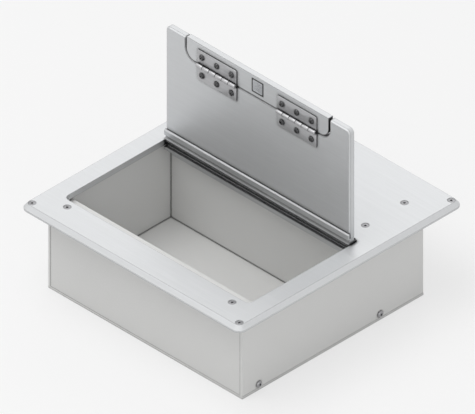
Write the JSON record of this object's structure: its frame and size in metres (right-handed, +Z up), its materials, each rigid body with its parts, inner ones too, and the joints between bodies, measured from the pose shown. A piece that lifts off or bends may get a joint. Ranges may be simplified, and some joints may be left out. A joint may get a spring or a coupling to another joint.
{
  "type": "floor socket box",
  "caption": "Recessed floor socket box: bevelled frame plate over a sheet box, with a lid on a geared hinge and a hinged cable flap in the lid's edge.",
  "frame": {"origin": "middle of the floor screw pattern, on the frame plate's underside, level with the finished floor", "axes": "+Z up out of the floor, +X along the lid's hinge, +Y to the back where the hinge is"},
  "size_m": [0.368, 0.376, 0.2921],
  "materials": {
    "frame_aluminium": "satin anodised",
    "lid_aluminium": "satin anodised",
    "hinge_aluminium": "satin anodised",
    "coated_steel": "fine powder coat",
    "block_steel": "zinc plated",
    "dark_screws": "black oxide",
    "bright_screws": "zinc plated",
    "butt_hinge_steel": "brushed",
    "magnet": "nickel plated",
    "outlet_plastic": "semi-gloss",
    "black_rubber": "matt",
    "brass": "bright",
    "clip_steel": "nickel plated",
    "terminal_plastic": "matt"
  },
  "bodies": {
    "box": {"frame_plate": "frame_aluminium", "floor_screws": "dark_screws", "frame_screws": "dark_screws", "frame_screw_nuts": "bright_screws", "front_panel": "coated_steel", "lid_buffers": "black_rubber", "rear_panel": "coated_steel", "divider_panel": "coated_steel", "left_side_plate": "coated_steel", "right_side_plate": "coated_steel", "base_plate": "coated_steel", "corner_blocks": "block_steel", "side_screws": "dark_screws", "base_screws": "dark_screws", "hinge_frame_leaf": "hinge_aluminium", "hinge_frame_leaf_screws": "bright_screws", "hinge_frame_leaf_nuts": "bright_screws", "socket_panel": "coated_steel", "socket_panel_screws": "bright_screws", "socket_outlet_1": "outlet_plastic", "socket_outlet_2": "outlet_plastic", "socket_outlet_3": "outlet_plastic", "blank_module": "outlet_plastic", "socket_contacts": "brass", "earth_clips": "clip_steel", "cable_grommet": "black_rubber", "entry_plug": "black_rubber", "terminal_block": "terminal_plastic", "terminal_screws": "brass", "earth_stud": "brass", "earth_nuts": "brass"},
    "hinge_cap": {"hinge_cap": "hinge_aluminium"},
    "lid": {"lid_plate": "lid_aluminium", "hinge_lid_leaf": "hinge_aluminium", "hinge_lid_leaf_screws": "bright_screws", "left_butt_lid_leaf": "butt_hinge_steel", "right_butt_lid_leaf": "butt_hinge_steel", "butt_lid_screws": "dark_screws", "left_butt_pin": "butt_hinge_steel", "right_butt_pin": "butt_hinge_steel"},
    "flap": {"flap_plate": "lid_aluminium", "magnet_pad": "magnet", "left_butt_flap_leaf": "butt_hinge_steel", "right_butt_flap_leaf": "butt_hinge_steel", "butt_flap_screws": "dark_screws"}
  },
  "joints": [
    {"name": "cap_turn", "type": "hinge", "parent": "box", "child": "hinge_cap", "pos_m": [0, 0.0312, -0.00217], "axis": [1, 0, 0], "range_deg": [0, 45]},
    {"name": "lid_turn", "type": "hinge", "parent": "hinge_cap", "child": "lid", "pos_m": [0, 0.0312, 0.00783], "axis": [1, 0, 0], "range_deg": [0, 45]},
    {"name": "flap_turn", "type": "hinge", "parent": "lid", "child": "flap", "pos_m": [0, 0.02385, 0.14496], "axis": [1, 0, 0], "range_deg": [0, 165]}
  ],
  "couplings": [
    {"joint": "cap_turn", "follows": "lid_turn", "ratio": 1}
  ]
}
